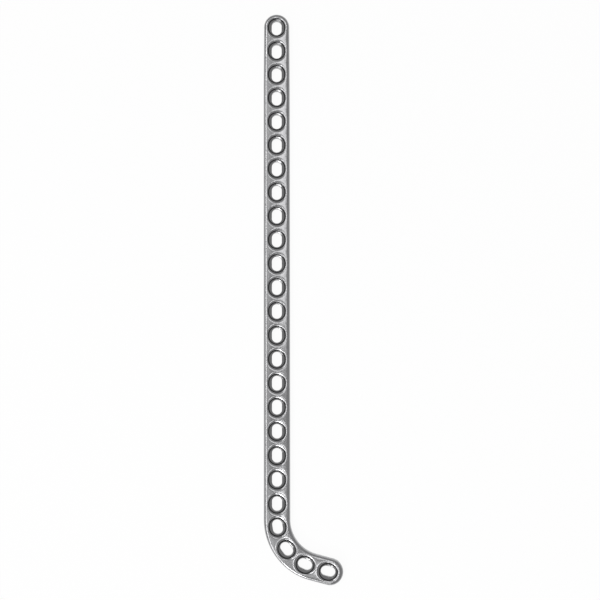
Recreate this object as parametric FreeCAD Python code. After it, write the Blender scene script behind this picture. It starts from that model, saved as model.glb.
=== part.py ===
# Angled reconstruction bone plate: one bar of steel with a crowned top and a row of elongated screw holes.
# Millimetres. The flat bone face lies at z = 0 and the screw heads sit in the +Z face.
# The straight run lies along Y with its free end at +Y, and the bend turns towards +X.
# The origin is on the bone face, under the middle of the straight run.
import FreeCAD
import Part
import math
import os

# Bar, its thickness measured at the crest of the crowned top
plate_width = 8.8
plate_thickness = 2.5
crown_radius = 30.0
top_edge_round = 1.1
bone_edge_break = 0.3

# Rows of holes, with their pitches measured along the centre line
straight_holes = 21
hole_pitch = 8.0
bend_holes = 4
bend_first_pitch = 7.6
bend_hole_pitch = 8.0

# Bend and ends
bend_radius = 16.3
bend_angle = 75.0
bend_lead = 5.25
free_end_margin = 4.6
free_end_width = 8.5
free_end_taper_length = 20.0
arm_end_margin = 5.05

# Screw hole: a round-ended slot below a ball seat, in which the screw head can slide, with a bevelled rim
slot_width = 3.35
slot_length = 4.9
head_radius = 4.0
head_travel = 0.45
seat_width = 5.85
rim_bevel_width = 0.6
rim_bevel_depth = 0.35

last_straight_station = (straight_holes - 1) * hole_pitch
middle_station = last_straight_station / 2
bend_start_station = last_straight_station + bend_lead
bend_turn = math.radians(bend_angle)
bend_end_station = bend_start_station + bend_radius * bend_turn
origin = FreeCAD.Vector(0, 0, 0)
along = FreeCAD.Vector(0, 1, 0)
up = FreeCAD.Vector(0, 0, 1)


def line(first, last):
    return Part.LineSegment(first, last).toShape()


def arc(first, middle, last):
    return Part.Arc(first, middle, last).toShape()


def centre_line(station):
    """Returns the centre line's point and its turn in radians, at a distance past the first hole."""
    straight = min(station, bend_start_station)
    turn = min(max((station - bend_start_station) / bend_radius, 0.0), bend_turn)
    arm = max(station - bend_end_station, 0.0)
    x = bend_radius * (1 - math.cos(turn)) + arm * math.sin(turn)
    y = middle_station - straight - bend_radius * math.sin(turn) - arm * math.cos(turn)
    return FreeCAD.Vector(x, y, 0), turn


def hole_stations():
    """Returns each hole's distance past the first one, along the straight run and round the bend."""
    straight = [i * hole_pitch for i in range(straight_holes)]
    first_in_bend = last_straight_station + bend_first_pitch
    return straight + [first_in_bend + i * bend_hole_pitch for i in range(bend_holes)]


def section_points(station, width, hand):
    """Returns the points of half the bar's section, from the crest down one flank to the bone face.

    A hand of 1 is the half on the inside of the bend and a hand of -1 the other.
    """
    point, turn = centre_line(station)
    side = FreeCAD.Vector(math.cos(turn), math.sin(turn), 0) * hand
    round_across = width / 2 - top_edge_round
    round_rise = math.sqrt((crown_radius - top_edge_round)**2 - round_across**2)
    lean = math.atan2(round_across, round_rise)
    crown_centre = point + up * (plate_thickness - crown_radius)
    round_centre = crown_centre + side * round_across + up * round_rise

    def on_circle(centre, radius, angle):
        return centre + (side * math.sin(angle) + up * math.cos(angle)) * radius

    return [
        point + up * plate_thickness,
        on_circle(crown_centre, crown_radius, lean / 2),
        on_circle(crown_centre, crown_radius, lean),
        on_circle(round_centre, top_edge_round, (lean + math.pi / 2) / 2),
        on_circle(round_centre, top_edge_round, math.pi / 2),
        point + side * width / 2 + up * bone_edge_break,
        point + side * (width / 2 - bone_edge_break),
    ]


def flank(points):
    """Returns the edges of one flank, from the crown's shoulder to the bone face."""
    shoulder, rounding, wall_top, wall_foot, sole = points[2:]
    return [arc(shoulder, rounding, wall_top), line(wall_top, wall_foot), line(wall_foot, sole)]


def bar_section(station, width):
    """Returns the bar's whole section, standing across the centre line at a station."""
    inner, outer = [section_points(station, width, hand) for hand in (1, -1)]
    crown = arc(outer[2], inner[0], inner[2])
    return Part.Wire([crown, *flank(inner), line(inner[-1], outer[-1]), *reversed(flank(outer))])


def end_cap(station, width, turn_angle):
    """Returns a round end: half the bar's section turned about the upright through the centre line."""
    points = section_points(station, width, 1)
    foot = centre_line(station)[0]
    crown = arc(*points[:3])
    outline = [crown, *flank(points), line(points[-1], foot), line(foot, points[0])]
    return Part.Face(Part.Wire(outline)).revolve(foot, up, turn_angle)


def with_spline_crown(bend):
    """Returns the bend with its crown as a spline surface, which takes fewer facets round the holes."""
    crowned = [isinstance(face.Surface, Part.SurfaceOfRevolution) for face in bend.Faces]
    faces = [face.toNurbs().Faces[0] if spun else face for face, spun in zip(bend.Faces, crowned)]
    shell = Part.makeShell(faces)
    shell.sewShape()
    return Part.makeSolid(shell)


def make_bar(last_hole):
    """Returns the bar without its holes: free end, taper, straight run, bend, arm and arm end."""
    free_cap_station = free_end_width / 2 - free_end_margin
    taper_end = bar_section(free_end_taper_length, plate_width)
    taper = Part.makeLoft([bar_section(free_cap_station, free_end_width), taper_end], True, True)
    straight = Part.Face(taper_end).extrude(along * (free_end_taper_length - bend_start_station))

    bend_centre = centre_line(bend_start_station)[0] + FreeCAD.Vector(bend_radius, 0, 0)
    bend = Part.Face(bar_section(bend_start_station, plate_width)).revolve(bend_centre, up, bend_angle)
    bend = with_spline_crown(bend)
    arm_cap_station = last_hole + arm_end_margin - plate_width / 2
    heading = FreeCAD.Vector(math.sin(bend_turn), -math.cos(bend_turn), 0)
    arm_start = Part.Face(bar_section(bend_end_station, plate_width))
    arm = arm_start.extrude(heading * (arm_cap_station - bend_end_station))

    free_end = end_cap(free_cap_station, free_end_width, 180)
    arm_end = end_cap(arm_cap_station, plate_width, -180)
    return free_end.fuse([taper, straight, bend, arm, arm_end]).removeSplitter()


def slot_cutter():
    """Returns the round-ended slot that goes right through, its length along Y."""
    radius = slot_width / 2
    side = FreeCAD.Vector(radius, 0, 0)
    end = along * (slot_length / 2 - radius)
    tip = along * (slot_length / 2)
    outline = Part.Wire([
        line(side - end, side + end),
        arc(side + end, tip, end - side),
        line(end - side, -end - side),
        arc(-end - side, -tip, side - end),
    ])
    return Part.Face(outline).extrude(up * plate_thickness)


def seat_cutter():
    """Returns the space above the seat: half its section turned round each end and run between them."""
    seat_top = plate_thickness - rim_bevel_depth
    ball_centre = up * (seat_top + math.sqrt(head_radius**2 - (seat_width / 2)**2))
    steepest = math.asin(seat_width / 2 / head_radius)
    lowest, middle, highest = [
        ball_centre + FreeCAD.Vector(math.sin(angle), 0, -math.cos(angle)) * head_radius
        for angle in (0, steepest / 2, steepest)
    ]
    rim = highest + FreeCAD.Vector(rim_bevel_width, 0, rim_bevel_depth)
    clear = up * plate_thickness
    top = up * rim.z + clear
    section = Part.Face(Part.Wire([
        arc(lowest, middle, highest),
        line(highest, rim),
        line(rim, rim + clear),
        line(rim + clear, top),
        line(top, lowest),
    ]))

    reach = along * (head_travel / 2)
    far_end = section.revolve(origin, up, 180)
    far_end.translate(reach)
    near_end = section.revolve(origin, up, -180)
    near_end.translate(-reach)
    right = section.extrude(reach * 2)
    right.translate(-reach)
    left = right.mirror(origin, FreeCAD.Vector(1, 0, 0))
    return far_end.fuse([near_end, right, left]).removeSplitter()


def make_plate():
    stations = hole_stations()
    hole = slot_cutter().fuse(seat_cutter())
    cutters = []
    for station in stations:
        point, turn = centre_line(station)
        cutter = hole.copy()
        cutter.Placement = FreeCAD.Placement(point, FreeCAD.Rotation(up, math.degrees(turn)))
        cutters.append(cutter)
    return make_bar(stations[-1]).cut(cutters)


os.makedirs("parts", exist_ok=True)
make_plate().exportStep("parts/plate.step")
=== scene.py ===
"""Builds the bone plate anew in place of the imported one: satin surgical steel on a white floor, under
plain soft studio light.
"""

import logging
import math
from dataclasses import dataclass
from enum import Enum, IntEnum
from typing import Any

import bpy
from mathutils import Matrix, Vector

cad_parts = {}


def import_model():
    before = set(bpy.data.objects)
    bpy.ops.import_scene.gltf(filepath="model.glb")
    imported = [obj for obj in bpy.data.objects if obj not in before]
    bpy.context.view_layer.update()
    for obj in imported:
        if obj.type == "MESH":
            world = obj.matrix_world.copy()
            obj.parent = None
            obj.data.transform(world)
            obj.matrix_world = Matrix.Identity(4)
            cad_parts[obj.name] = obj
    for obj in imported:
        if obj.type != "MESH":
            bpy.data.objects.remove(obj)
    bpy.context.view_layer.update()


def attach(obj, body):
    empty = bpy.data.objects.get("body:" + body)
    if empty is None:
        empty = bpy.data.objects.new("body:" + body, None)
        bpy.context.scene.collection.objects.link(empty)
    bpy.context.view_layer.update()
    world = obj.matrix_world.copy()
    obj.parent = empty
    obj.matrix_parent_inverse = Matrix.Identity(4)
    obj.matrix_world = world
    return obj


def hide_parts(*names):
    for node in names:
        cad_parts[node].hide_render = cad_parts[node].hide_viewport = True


LOG = logging.getLogger("bone_plate_scene")
MM = 0.001

# Nearly all the values of a noise texture lie between these two
NOISE_LOW = 0.3
NOISE_HIGH = 0.7

# A Mix node's sockets for colours, which share their names with its other sockets
MIX_SHARE = 0
MIX_FIRST = 6
MIX_SECOND = 7
MIX_RESULT = 2


def linear(hex_colour: str) -> tuple[float, float, float, float]:
    """Turns an sRGB hex colour into the linear colour that a shader socket takes.

    Args:
        hex_colour: Six hex digits after a hash sign.

    Returns:
        Red, green, blue and an alpha of one.
    """
    parts = [int(hex_colour[i:i + 2], 16) / 255 for i in (1, 3, 5)]
    red, green, blue = [p / 12.92 if p <= 0.04045 else ((p + 0.055) / 1.055) ** 2.4 for p in parts]
    return red, green, blue, 1.0


def add_node(tree: bpy.types.NodeTree, kind: str, settings: dict[str, Any] | None = None,
             values: dict[str | int, Any] | None = None,
             links: dict[str | int, bpy.types.NodeSocket] | None = None) -> bpy.types.Node:
    """Adds one shader node with its settings, its socket values and its incoming links.

    Args:
        tree: The node tree that takes the node.
        kind: The node's type name.
        settings: Attributes of the node itself.
        values: Values for its input sockets, by socket name or number.
        links: Output sockets that feed its inputs, by input name or number.

    Returns:
        The new node.
    """
    node = tree.nodes.new(kind)
    for name, value in (settings or {}).items():
        setattr(node, name, value)
    for name, value in (values or {}).items():
        node.inputs[name].default_value = value
    for name, source in (links or {}).items():
        tree.links.new(source, node.inputs[name])
    return node


def new_material(name: str) -> bpy.types.Material:
    """Opens a material with an empty node tree.

    Args:
        name: The material's name.

    Returns:
        The material.
    """
    material = bpy.data.materials.new(name)
    material.use_nodes = True
    material.node_tree.nodes.clear()
    return material


@dataclass(frozen=True)
class SurgicalSteel:
    """Surgical stainless steel 316L, whose fine even grain gives the eye a satin glint and no mirror image.

    The real grain is a few hundredths of a millimetre wide, so it is drawn coarser here, to show at all.
    """

    name: str
    roughness: float
    roughness_spread: float
    grain_width: float = 0.3 * MM
    grain_height: float = 0.0045 * MM
    grain_detail: float = 2.0
    grain_unevenness: float = 0.5

    def colour(self, tree: bpy.types.NodeTree, place: bpy.types.NodeSocket,
               grain: bpy.types.NodeSocket) -> bpy.types.NodeSocket:
        """Gives the colour, from the place on the object and the grain there, as each finish has it."""
        raise NotImplementedError

    def make(self) -> bpy.types.Material:
        """Builds the material.

        Returns:
            The finished material.
        """
        material = new_material(self.name)
        tree = material.node_tree
        place = add_node(tree, "ShaderNodeTexCoord").outputs["Object"]
        grain = add_node(tree, "ShaderNodeTexNoise", None,
                         {"Scale": 1 / self.grain_width, "Detail": self.grain_detail,
                          "Roughness": self.grain_unevenness}, {"Vector": place}).outputs["Fac"]
        roughness = add_node(tree, "ShaderNodeMapRange", None,
                             {"From Min": NOISE_LOW, "From Max": NOISE_HIGH,
                              "To Min": self.roughness - self.roughness_spread,
                              "To Max": self.roughness + self.roughness_spread},
                             {"Value": grain}).outputs["Result"]
        relief = add_node(tree, "ShaderNodeBump", None,
                          {"Strength": 1.0, "Distance": self.grain_height},
                          {"Height": grain}).outputs["Normal"]
        shader = add_node(tree, "ShaderNodeBsdfPrincipled", None, {"Metallic": 1.0},
                          {"Base Color": self.colour(tree, place, grain), "Roughness": roughness,
                           "Normal": relief})
        add_node(tree, "ShaderNodeOutputMaterial", links={"Surface": shader.outputs[0]})
        return material


@dataclass(frozen=True)
class TumbledSteel(SurgicalSteel):
    """The outside, ground along the plate and then tumbled with stones.

    Tumbling rounds off the grinding marks. That gives the eye a soft grey with faint lengthwise streaks.
    The real marks are about a tenth of a millimetre wide, so the streaks are drawn coarser than they are.
    """

    name: str = "tumbled_surgical_steel"
    roughness: float = 0.17
    roughness_spread: float = 0.04
    face_colour: str = "#B1B1B2"
    streak_colour: str = "#9B9B9D"
    streak_width: float = 0.35 * MM
    streak_length: float = 9.0 * MM
    streak_detail: float = 3.0
    streak_unevenness: float = 0.6

    # The streaks and the grain added up, at the face's full colour and at the streaks' full colour
    face_marks: float = 0.7
    streak_marks: float = 1.3

    def colour(self, tree: bpy.types.NodeTree, place: bpy.types.NodeSocket,
               grain: bpy.types.NodeSocket) -> bpy.types.NodeSocket:
        """Mixes the face's grey with the darker grey of the streaks and the grain.

        Args:
            tree: The material's node tree.
            place: The place on the object.
            grain: The grain there.

        Returns:
            The colour.
        """
        # Grinding runs along the plate, so the streaks are stretched in Y
        fineness = (1 / self.streak_width, 1 / self.streak_length, 1 / self.streak_width)
        along = add_node(tree, "ShaderNodeMapping", {"vector_type": "POINT"}, {"Scale": fineness},
                         {"Vector": place}).outputs[0]
        streaks = add_node(tree, "ShaderNodeTexNoise", None,
                           {"Scale": 1.0, "Detail": self.streak_detail,
                            "Roughness": self.streak_unevenness}, {"Vector": along}).outputs["Fac"]
        marks = add_node(tree, "ShaderNodeMath", {"operation": "ADD"}, links={0: streaks, 1: grain})
        tone = add_node(tree, "ShaderNodeMapRange", None,
                        {"From Min": self.face_marks, "From Max": self.streak_marks},
                        {"Value": marks.outputs[0]}).outputs["Result"]
        return add_node(tree, "ShaderNodeMix", {"data_type": "RGBA"},
                        {MIX_FIRST: linear(self.face_colour), MIX_SECOND: linear(self.streak_colour)},
                        {MIX_SHARE: tone}).outputs[MIX_RESULT]


@dataclass(frozen=True)
class MilledSteel(SurgicalSteel):
    """The seats and slots, cut with a ball mill and left nearly as cut.

    The cutter leaves them smooth and duller in colour than the tumbled face, and their grey is darker still
    as painted shade of the recess. A dark ring of painted shade lies under each mouth, where the seat is
    steepest.
    """

    name: str = "ball_milled_steel_painted_shade"
    roughness: float = 0.2
    roughness_spread: float = 0.04
    # The seat's grey: duller for the milled finish, and darker still as painted shade of the recess
    seat_and_shade_colour: str = "#989899"
    # Painted shade: a near-black ring that stands in for the dark reflection under each mouth
    painted_shade_colour: str = "#28282A"

    # Heights above the bone face between which the ring of painted shade fades out
    shade_ring_low: float = 1.73 * MM
    shade_ring_high: float = 1.94 * MM

    def colour(self, tree: bpy.types.NodeTree, place: bpy.types.NodeSocket,
               grain: bpy.types.NodeSocket) -> bpy.types.NodeSocket:
        """Fades the ring of painted shade under the mouth into the grey of the seat, by height.

        Args:
            tree: The material's node tree.
            place: The place on the object.
            grain: The grain there, which this finish shows in its relief alone.

        Returns:
            The colour.
        """
        # Painted shade, darker under the mouth by height alone
        height = add_node(tree, "ShaderNodeSeparateXYZ", links={0: place}).outputs["Z"]
        depth = add_node(tree, "ShaderNodeMapRange", {"interpolation_type": "SMOOTHSTEP"},
                         {"From Min": self.shade_ring_high, "From Max": self.shade_ring_low},
                         {"Value": height}).outputs["Result"]
        return add_node(tree, "ShaderNodeMix", {"data_type": "RGBA"},
                        {MIX_FIRST: linear(self.painted_shade_colour), MIX_SECOND: linear(self.seat_and_shade_colour)},
                        {MIX_SHARE: depth}).outputs[MIX_RESULT]


@dataclass(frozen=True)
class WhiteCard:
    """Matt white card, lit through from below as on a light table: its own glow is what the camera sees.

    A share of plain white paint in the mix keeps the faint shadow under the plate.
    """

    name: str = "white_card"
    colour: str = "#F8F8F8"
    roughness: float = 0.9
    specular: float = 0.1
    glow_colour: str = "#FFFFFF"
    glow_share: float = 0.94

    def make(self) -> bpy.types.Material:
        """Builds the material.

        Returns:
            The finished material.
        """
        material = new_material(self.name)
        tree = material.node_tree
        paint = add_node(tree, "ShaderNodeBsdfPrincipled", None,
                         {"Base Color": linear(self.colour), "Roughness": self.roughness,
                          "Specular IOR Level": self.specular})
        glow = add_node(tree, "ShaderNodeEmission", None,
                        {"Color": linear(self.glow_colour), "Strength": 1.0})
        ray = add_node(tree, "ShaderNodeLightPath").outputs
        seen = add_node(tree, "ShaderNodeMath", {"operation": "ADD"},
                        links={0: ray["Is Camera Ray"], 1: ray["Is Glossy Ray"]})
        seen = add_node(tree, "ShaderNodeMath", {"operation": "ADD", "use_clamp": True},
                        links={0: seen.outputs[0], 1: ray["Is Transmission Ray"]})
        share = add_node(tree, "ShaderNodeMath", {"operation": "MULTIPLY"}, {1: self.glow_share},
                         {0: seen.outputs[0]})
        mix = add_node(tree, "ShaderNodeMixShader", None, None,
                       {0: share.outputs[0], 1: paint.outputs[0], 2: glow.outputs[0]})
        add_node(tree, "ShaderNodeOutputMaterial", links={"Surface": mix.outputs[0]})
        return material


class Steel(IntEnum):
    """The plate's material slots."""

    TUMBLED = 0
    MILLED = 1


class Edge(Enum):
    """The four edges of the patch of plate round one hole."""

    INSIDE = "the flank on the inside of the bend"
    FREE = "the web towards the free end"
    OUTSIDE = "the flank on the outside of the bend"
    ARM = "the web towards the arm"


@dataclass(frozen=True)
class Ray:
    """One line of points that runs out from the mouth of a hole to the edge of its patch.

    The angle is in radians, from the inside of the bend towards the free end. The slot end that the ray
    leaves is 1 towards the free end and -1 towards the arm. The share is how far along its edge the ray
    ends: on a flank towards the free end, and on a web in the rays' own order.
    """

    angle: float
    slot_end: int
    edge: Edge
    share: float


@dataclass
class BonePlate:
    """The plate, as sheets of quads wrapped round each screw hole, with every edge softened by tumbling.

    Sizes are in millimetres, as on a drawing. Each hole has a sheet that runs from the web between the
    holes over the rim, down the seat and the slot and out again on the bone face, and strips along the
    flanks close the sheets. Cutting the holes out of a crowned bar leaves splinters along their rims,
    which a bevel tears open, so the rims are laid out here with their rounding in them.
    """

    outside: TumbledSteel = TumbledSteel()
    milled: MilledSteel = MilledSteel()
    node: str = "plate"
    body: str = "root"

    # Bar
    width: float = 8.8
    thickness: float = 2.5
    crown_radius: float = 30.0
    edge_round: float = 1.1
    foot_break: float = 0.3

    # Rows of holes, the bend and the ends
    straight_holes: int = 21
    pitch: float = 8.0
    bend_holes: int = 4
    bend_first_pitch: float = 7.6
    bend_radius: float = 16.3
    bend_angle: float = 75.0
    bend_lead: float = 5.25
    free_end_margin: float = 4.6
    free_end_width: float = 8.5
    taper_length: float = 20.0
    arm_end_margin: float = 5.05

    # Screw hole
    slot_width: float = 3.35
    slot_length: float = 4.9
    head_radius: float = 4.0
    head_travel: float = 0.45
    seat_width: float = 5.85
    rim_width: float = 0.6
    rim_depth: float = 0.35

    # How far tumbling softens the rims and the sharp corners
    rim_softening: float = 0.14
    corner_softening: float = 0.07

    # Rays in a quarter turn, and steps in the rounding of the flank
    quarter: int = 12
    round_steps: int = 8

    # Where the rows of points lie. The rim's are distances past the edge of the seat, and the others are
    # shares of the way: from the rim to the border on the face, down the seat, down the slot, and from the
    # slot to the border on the bone face.
    face_shares: tuple[float, ...] = (0.75, 0.5, 0.25)
    rim_steps: tuple[float, ...] = (0.5, 0.4, 0.3, 0.2, 0.1, 0.04, 0.0)
    seat_shares: tuple[float, ...] = (0.04, 0.15, 0.3, 0.5, 0.7, 0.88, 1.0)
    wall_shares: tuple[float, ...] = (0.0, 0.5, 1.0)
    sole_shares: tuple[float, ...] = (0.1, 0.4, 0.7)

    # How near points merge, and the angle in degrees past which an edge stays sharp
    merge_distance: float = 0.002
    smooth_angle: float = 60.0

    def __post_init__(self) -> None:
        """Works out the stations of the holes and of the two round ends, and the rays of a hole."""
        last_straight = (self.straight_holes - 1) * self.pitch
        self.middle = last_straight / 2
        self.bend_start = last_straight + self.bend_lead
        self.turn = math.radians(self.bend_angle)
        self.bend_end = self.bend_start + self.bend_radius * self.turn
        first_in_bend = last_straight + self.bend_first_pitch
        self.holes = [n * self.pitch for n in range(self.straight_holes)]
        self.holes += [first_in_bend + n * self.pitch for n in range(self.bend_holes)]
        self.webs = [(a + b) / 2 for a, b in zip(self.holes, self.holes[1:])]
        self.free_cap = self.free_end_width / 2 - self.free_end_margin
        self.arm_cap = self.holes[-1] + self.arm_end_margin - self.width / 2
        self.rays = self.lay_rays()

    def lay_rays(self) -> list[Ray]:
        """Lays out the rays round a hole, from the corner at the arm and the inside of the bend.

        Returns:
            The rays. Two of them point straight to each flank, one from each end of the slot.
        """
        quarter, half = self.quarter, self.quarter // 2
        flank = quarter + 1
        inside = [Edge.INSIDE] * (flank + 1)
        free = [Edge.FREE] * (quarter - 1)
        edges = inside + free + [Edge.OUTSIDE] * len(inside) + [Edge.ARM] * len(free)
        upward = [step / flank for step in range(flank + 1)]
        onward = [step / quarter for step in range(1, quarter)]
        shares = upward + onward + upward[::-1] + onward
        turns = [*range(-half, 1), *range(2 * quarter + 1), *range(2 * quarter, 4 * quarter - half)]
        ends = [-1] * (half + 1) + [1] * (2 * quarter + 1)
        ends += [-1] * (len(turns) - len(ends))
        return [Ray(math.radians(turn * 90 / quarter), *rest)
                for turn, *rest in zip(turns, ends, edges, shares)]

    def centre(self, station: float) -> tuple[Vector, float]:
        """Finds the centre line.

        Args:
            station: Distance past the first hole.

        Returns:
            The point in plan, and the turn there in radians.
        """
        turn = min(max((station - self.bend_start) / self.bend_radius, 0.0), self.turn)
        arm = max(station - self.bend_end, 0.0)
        run = min(station, self.bend_start)
        x = self.bend_radius * (1 - math.cos(turn)) + arm * math.sin(turn)
        y = self.middle - run - self.bend_radius * math.sin(turn) - arm * math.cos(turn)
        return Vector((x, y)), turn

    def beside(self, station: float, across: float, back: float = 0.0) -> Vector:
        """Finds the point in plan that lies across the centre line, and back towards the free end.

        Args:
            station: Distance past the first hole.
            across: Distance towards the inside of the bend.
            back: Distance towards the free end, square to that.

        Returns:
            The point in plan.
        """
        point, turn = self.centre(station)
        sideways = Vector((math.cos(turn), math.sin(turn)))
        backwards = Vector((-math.sin(turn), math.cos(turn)))
        return point + sideways * across + backwards * back

    def from_hole(self, station: float, point: Vector) -> Vector:
        """Turns a point in plan into distances from a hole's centre.

        Args:
            station: The hole's distance past the first one.
            point: The point in plan.

        Returns:
            Its distances towards the inside of the bend and towards the free end.
        """
        centre, turn = self.centre(station)
        away = point - centre
        return Vector((away.dot(Vector((math.cos(turn), math.sin(turn)))),
                       away.dot(Vector((-math.sin(turn), math.cos(turn))))))

    def reach(self, point: Vector) -> float:
        """Measures how far a point lies from the centre line between the centres of the two ends.

        Args:
            point: The point in plan.

        Returns:
            The distance.
        """
        tip = self.centre(self.free_cap)[0]
        bend_centre = self.centre(self.bend_start)[0] + Vector((self.bend_radius, 0.0))
        if point.y > tip.y:
            return (point - tip).length
        if point.y > bend_centre.y:
            return abs(point.x)
        spoke = point - bend_centre
        if math.atan2(-spoke.y, -spoke.x) < self.turn:
            return abs(spoke.length - self.bend_radius)
        end, turn = self.centre(self.arm_cap)
        ahead = (point - end).dot(Vector((math.sin(turn), -math.cos(turn))))
        across = (point - end).dot(Vector((math.cos(turn), math.sin(turn))))
        return math.hypot(max(ahead, 0.0), across)

    def crown(self, reach: float) -> float:
        """Gives the height of the crowned top at a distance from the centre line."""
        return self.thickness - self.crown_radius + math.sqrt(self.crown_radius ** 2 - reach ** 2)

    def flank(self, station: float) -> list[tuple[float, float]]:
        """Traces the flank's section.

        Args:
            station: Distance past the first hole.

        Returns:
            Distances from the centre line and heights, from the crown's shoulder down to the bone face.
        """
        past_tip = min(max(station, self.free_cap), self.taper_length) - self.free_cap
        along = past_tip / (self.taper_length - self.free_cap)
        half = (self.free_end_width + (self.width - self.free_end_width) * along) / 2
        inner = half - self.edge_round
        rise = math.sqrt((self.crown_radius - self.edge_round) ** 2 - inner ** 2)
        lean = math.atan2(inner, rise)
        level = self.thickness - self.crown_radius + rise
        leans = [lean + (math.pi / 2 - lean) * n / self.round_steps for n in range(self.round_steps + 1)]
        rounding = [(inner + self.edge_round * math.sin(angle), level + self.edge_round * math.cos(angle))
                    for angle in leans]
        soft, foot = self.corner_softening, self.foot_break
        return rounding + [(half, foot + soft), (half - soft / 2, foot - soft / 2),
                           (half - foot + soft / 2, soft / 2), (half - foot - soft, 0.0)]

    def border(self, number: int, ray: Ray, row: int) -> Vector:
        """Finds where a ray from a hole meets the border of its sheet.

        Args:
            number: The hole.
            ray: The ray.
            row: The point of the flank's section that the border follows.

        Returns:
            The point, with its height.
        """
        last = len(self.holes) - 1
        back = self.webs[number - 1] if number > 0 else self.free_cap
        ahead = self.webs[number] if number < last else self.arm_cap
        at_free_end = number == 0 and ray.slot_end > 0
        at_arm_end = number == last and ray.slot_end < 0
        if at_free_end or at_arm_end:
            station = back if at_free_end else ahead
            out, height = self.flank(station)[row]
            spot = self.beside(station, out * math.cos(ray.angle), out * math.sin(ray.angle))
            return Vector((*spot, height))

        if ray.edge in (Edge.FREE, Edge.ARM):
            station, hand = (back, 1) if ray.edge is Edge.FREE else (ahead, -1)
            out, height = self.flank(station)[row]
            across = out * (1 - 2 * ray.share) * hand
            return Vector((*self.beside(station, across), self.crown(abs(across)) if row == 0 else height))

        # Beside an end hole, the rays that don't reach the round end spread out over the whole flank
        spread = (self.quarter + 1) / (self.quarter // 2 + 1)
        share = ray.share
        if number == 0:
            share = share * spread
        elif number == last:
            share = 1 - (1 - share) * spread
        station = ahead + (back - ahead) * share
        out, height = self.flank(station)[row]
        return Vector((*self.beside(station, out if ray.edge is Edge.INSIDE else -out), height))

    def ring(self, radius: float, travel: float) -> list[Vector]:
        """Draws a slot's outline round a hole, from the radius of its ends and the travel between them."""
        return [Vector((radius * math.cos(ray.angle),
                        radius * math.sin(ray.angle) + ray.slot_end * travel / 2)) for ray in self.rays]

    def seat_reach(self, local: Vector) -> float:
        """Measures how far a point, seen from the hole's centre, lies from the head's line of travel."""
        return math.hypot(local.x, max(abs(local.y) - self.head_travel / 2, 0.0))

    def rim_height(self, local: Vector, point: Vector) -> float:
        """Gives the height of the crowned top, eased into the bevel of the rim.

        Args:
            local: The point in plan, from the hole's centre.
            point: The same point on the plate.

        Returns:
            The height.
        """
        past = self.seat_reach(local) - self.seat_width / 2
        bevel = self.thickness - self.rim_depth + past * self.rim_depth / self.rim_width
        top = self.crown(self.reach(point))
        ease = min(max(0.5 + (top - bevel) / self.rim_softening / 2, 0.0), 1.0)
        return top + (bevel - top) * ease - self.rim_softening * ease * (1 - ease)

    def seat_height(self, local: Vector) -> float:
        """Gives the height of the ball seat.

        Args:
            local: The point in plan, from the hole's centre.

        Returns:
            The height.
        """
        at_edge = math.sqrt(self.head_radius ** 2 - (self.seat_width / 2) ** 2)
        here = math.sqrt(self.head_radius ** 2 - self.seat_reach(local) ** 2)
        return self.thickness - self.rim_depth + at_edge - here

    def face_rows(self, number: int) -> list[list[Vector]]:
        """Lays out the crowned top round one hole.

        Args:
            number: The hole.

        Returns:
            Rows of points, from the border of the top to the edge of the seat.
        """
        station = self.holes[number]
        border = [self.border(number, ray, 0) for ray in self.rays]
        shoulder = self.ring(self.seat_width / 2 + self.rim_steps[0], self.head_travel)
        inward = [self.from_hole(station, point.xy) for point in border]
        rings = [[b * share + s * (1 - share) for b, s in zip(inward, shoulder)]
                 for share in self.face_shares]
        rings += [self.ring(self.seat_width / 2 + past, self.head_travel) for past in self.rim_steps]
        rows = [border]
        for ring in rings:
            spots = [self.beside(station, *local) for local in ring]
            rows.append([Vector((*spot, self.rim_height(local, spot))) for local, spot in zip(ring, spots)])
        return rows

    def hole_rows(self, number: int) -> list[list[Vector]]:
        """Lays out the seat and the slot of one hole.

        Args:
            number: The hole.

        Returns:
            Rows of points, from just under the edge of the seat to the mouth of the slot in the bone face.
        """
        station = self.holes[number]
        soft = self.corner_softening
        radius, travel = self.slot_width / 2, self.slot_length - self.slot_width
        mouth = self.ring(self.seat_width / 2, self.head_travel)
        throat = self.ring(radius + soft, travel)
        wall = self.ring(radius, travel)
        under = [self.seat_height(local) - soft for local in throat]
        rows = []
        for share in self.seat_shares:
            ring = [m * (1 - share) + t * share for m, t in zip(mouth, throat)]
            rows.append([Vector((*self.beside(station, *local), self.seat_height(local)))
                         for local in ring])
        for share in self.wall_shares:
            rows.append([Vector((*self.beside(station, *local), top * (1 - share) + soft * share))
                         for local, top in zip(wall, under)])
        rows.append([Vector((*self.beside(station, *local), 0.0)) for local in throat])
        return rows

    def sole_rows(self, number: int, foot: list[Vector]) -> list[list[Vector]]:
        """Lays out the flat bone face round one hole.

        Args:
            number: The hole.
            foot: The row of points at the mouth of the slot.

        Returns:
            Rows of points, from just outside that row to the border of the bone face.
        """
        border = [self.border(number, ray, -1) for ray in self.rays]
        rows = [[f * (1 - share) + b * share for f, b in zip(foot, border)] for share in self.sole_shares]
        return [*rows, border]

    def flank_rows(self, number: int) -> list[list[list[Vector]]]:
        """Lays out the strips that close one hole's sheet along the flanks and round the ends.

        Args:
            number: The hole.

        Returns:
            For each strip, its rows of points.
        """
        inside = [ray for ray in self.rays if ray.edge is Edge.INSIDE]
        free = [ray for ray in self.rays if ray.edge is Edge.FREE]
        outside = [ray for ray in self.rays if ray.edge is Edge.OUTSIDE]
        arm = [ray for ray in self.rays if ray.edge is Edge.ARM]
        if number == 0:
            strips = [inside + free + outside]
        elif number == len(self.holes) - 1:
            strips = [outside + arm + inside]
        else:
            strips = [inside, outside]
        levels = range(len(self.flank(0.0)))
        return [[[self.border(number, ray, row) for ray in strip] for row in levels] for strip in strips]

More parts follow.
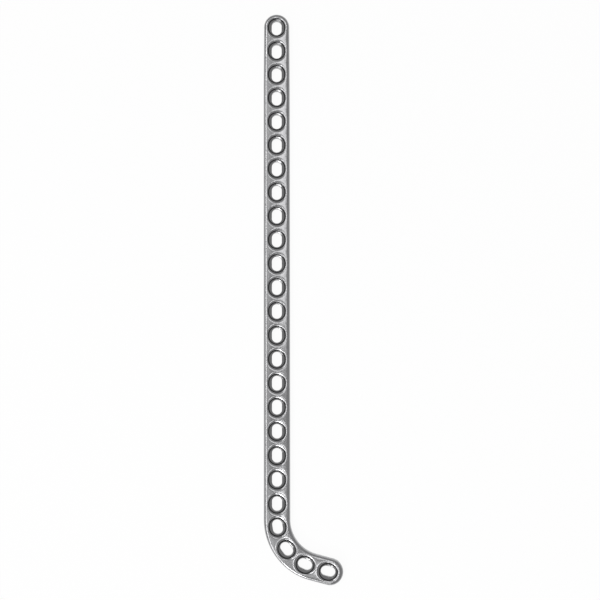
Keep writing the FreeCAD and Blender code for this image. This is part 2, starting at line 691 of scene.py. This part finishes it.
    def sheet(self, name: str, rows: list[list[Vector]], finishes: list[bpy.types.Material],
              milled: range = range(0)) -> bpy.types.Object:
        """Adds a flat grid and lays its points out as a sheet.

        Args:
            name: The sheet's name.
            rows: Its rows of points, in millimetres.
            finishes: The materials, in the order of the slots.
            milled: The rows of faces that are milled.

        Returns:
            The sheet.
        """
        columns = len(rows[0]) - 1
        bpy.ops.mesh.primitive_grid_add(x_subdivisions=columns, y_subdivisions=len(rows) - 1, size=1.0)
        sheet = bpy.context.object
        sheet.name = name
        spots = [value * MM for row in rows for point in row for value in point]
        sheet.data.vertices.foreach_set("co", spots)
        for finish in finishes:
            sheet.data.materials.append(finish)
        for face in sheet.data.polygons:
            face.material_index = Steel.MILLED if face.index // columns in milled else Steel.TUMBLED
        return sheet

    def hole_sheets(self, number: int, finishes: list[bpy.types.Material]) -> list[bpy.types.Object]:
        """Makes the sheets of one hole: the one that wraps round it, and the strips on the flanks.

        Args:
            number: The hole.
            finishes: The materials, in the order of the slots.

        Returns:
            The sheets.
        """
        face, hole = self.face_rows(number), self.hole_rows(number)
        rows = face + hole + self.sole_rows(number, hole[-1])
        milled = range(len(face) - 1, len(face) + len(hole) - 1)
        closed = [[*row, row[0]] for row in rows]
        strips = self.flank_rows(number)
        return [self.sheet(f"hole_{number + 1}", closed, finishes, milled),
                *[self.sheet(f"flank_{number + 1}", strip, finishes) for strip in strips]]

    def build(self) -> bpy.types.Object:
        """Makes the plate.

        Returns:
            The finished plate.
        """
        bpy.ops.object.select_all(action="DESELECT")
        finishes = [self.outside.make(), self.milled.make()]
        sheets = [sheet for number in range(len(self.holes))
                  for sheet in self.hole_sheets(number, finishes)]
        for sheet in sheets:
            sheet.select_set(True)
        plate = sheets[0]
        bpy.context.view_layer.objects.active = plate
        bpy.ops.object.join()
        plate.name = "tumbled_plate"
        bpy.ops.object.mode_set(mode="EDIT")
        bpy.ops.mesh.select_all(action="SELECT")
        bpy.ops.mesh.remove_doubles(threshold=self.merge_distance * MM)
        bpy.ops.mesh.normals_make_consistent(inside=False)
        bpy.ops.object.mode_set(mode="OBJECT")
        bpy.ops.object.shade_smooth_by_angle(angle=math.radians(self.smooth_angle))
        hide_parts(self.node)
        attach(plate, self.body)
        return plate


@dataclass(frozen=True)
class Lamp:
    """One soft box, in metres, which points straight down unless it has an aim.

    Its power is in watts, and its spread, in degrees, is narrow where a grid stands before it.
    """

    name: str
    place: tuple[float, float, float]
    sides: tuple[float, float]
    power: float
    aim: tuple[float, float, float] | None = None
    spread: float = 180.0

    def build(self) -> bpy.types.Object:
        """Adds the lamp.

        Returns:
            The lamp's object.
        """
        data = bpy.data.lights.new(self.name, "AREA")
        data.shape = "RECTANGLE"
        data.size, data.size_y = self.sides
        data.energy = self.power
        data.spread = math.radians(self.spread)
        lamp = bpy.data.objects.new(self.name, data)
        bpy.context.scene.collection.objects.link(lamp)
        lamp.visible_camera = False
        lamp.location = self.place
        aim = self.aim or (*self.place[:2], 0.0)
        lamp.rotation_euler = (Vector(aim) - Vector(self.place)).to_track_quat("-Z", "Y").to_euler()
        return lamp


@dataclass
class Studio:
    """The white floor, the lamps, the surroundings and the camera over the plate.

    Far and near are towards the free end and towards the bend, and left is the outside of the bend.
    Sizes are in metres, and angles in degrees.
    """

    floor_size: float = 60.0
    floor_drop: float = 0.05 * MM
    sky_colour: str = "#FFFFFF"
    sky_strength: float = 0.44
    lamps: tuple[Lamp, ...] = (
        Lamp("overhead_strip_far", (0.095, 0.39, 1.2), (0.31, 0.84), 1.06),
        Lamp("overhead_strip_near", (0.08, -0.38, 1.2), (0.16, 0.30), 0.48),
        Lamp("overhead_soft_far", (-0.30, 0.475, 1.6), (1.2, 0.85), 0.5),
        Lamp("overhead_soft_near", (-0.30, -0.60, 1.6), (1.2, 0.6), 0.56),
        Lamp("overhead_left_strip", (-0.29, 0.0, 1.2), (0.10, 1.8), 0.3),
        Lamp("left_panel", (-0.74, 0.0, 1.12), (1.8, 0.28), 5.9, (0.0, 0.0, 0.0)),
        Lamp("low_front_strip", (-0.26, -0.60, 0.31), (0.7, 0.11), 0.9, (0.0, -0.05, 0.003)),
        Lamp("low_front_grid", (-0.13, -0.34, 0.145), (0.36, 0.06), 0.018, (0.0, -0.085, 0.002), 26.0),
    )
    camera_place: tuple[float, float, float] = (7.73 * MM, -27.12 * MM, 360 * MM)
    camera_tilt: float = 2.383
    camera_roll: float = -0.0987
    sensor_width: float = 36.0
    nearest_view: float = 0.01

    # The focal length and the picture's side, both in pixels of the photograph
    focal_pixels: float = 1070.8
    picture_pixels: float = 600.0

    def build_floor(self) -> bpy.types.Object:
        """Lays the pale floor just under the bone face.

        Returns:
            The floor.
        """
        bpy.ops.object.select_all(action="DESELECT")
        bpy.ops.mesh.primitive_plane_add(size=self.floor_size, location=(0, 0, -self.floor_drop))
        floor = bpy.context.object
        floor.name = "floor"
        floor.data.materials.append(WhiteCard().make())
        return floor

    def build_sky(self) -> None:
        """Sets the even grey of the surroundings."""
        world = bpy.data.worlds.new("studio")
        bpy.context.scene.world = world
        world.use_nodes = True
        background = world.node_tree.nodes["Background"].inputs
        background["Color"].default_value = linear(self.sky_colour)
        background["Strength"].default_value = self.sky_strength

    def build_camera(self) -> bpy.types.Object:
        """Adds the camera, almost straight above the plate.

        Returns:
            The camera.
        """
        data = bpy.data.cameras.new("camera")
        data.sensor_width = self.sensor_width
        data.lens = self.focal_pixels / self.picture_pixels * self.sensor_width
        data.clip_start = self.nearest_view
        camera = bpy.data.objects.new("camera", data)
        bpy.context.scene.collection.objects.link(camera)
        camera.location = self.camera_place
        camera.rotation_euler = (math.radians(self.camera_tilt), 0, math.radians(self.camera_roll))
        bpy.context.scene.camera = camera
        return camera

    def build(self) -> list[bpy.types.Object]:
        """Sets up the whole studio.

        Returns:
            The floor, the lamps and the camera.
        """
        floor = self.build_floor()
        self.build_sky()
        lamps = [lamp.build() for lamp in self.lamps]
        camera = self.build_camera()
        bpy.context.scene.view_settings.view_transform = "Standard"
        return [floor, *lamps, camera]


def main() -> None:
    """Loads the frame, dresses the plate and builds the studio round it."""
    logging.basicConfig(level=logging.INFO)
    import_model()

    plate = BonePlate().build()
    LOG.info("%s: %d faces", plate.name, len(plate.data.polygons))
    for piece in Studio().build():
        LOG.info("%s: %s", piece.name, piece.type.lower())


if __name__ == "__main__":
    main()
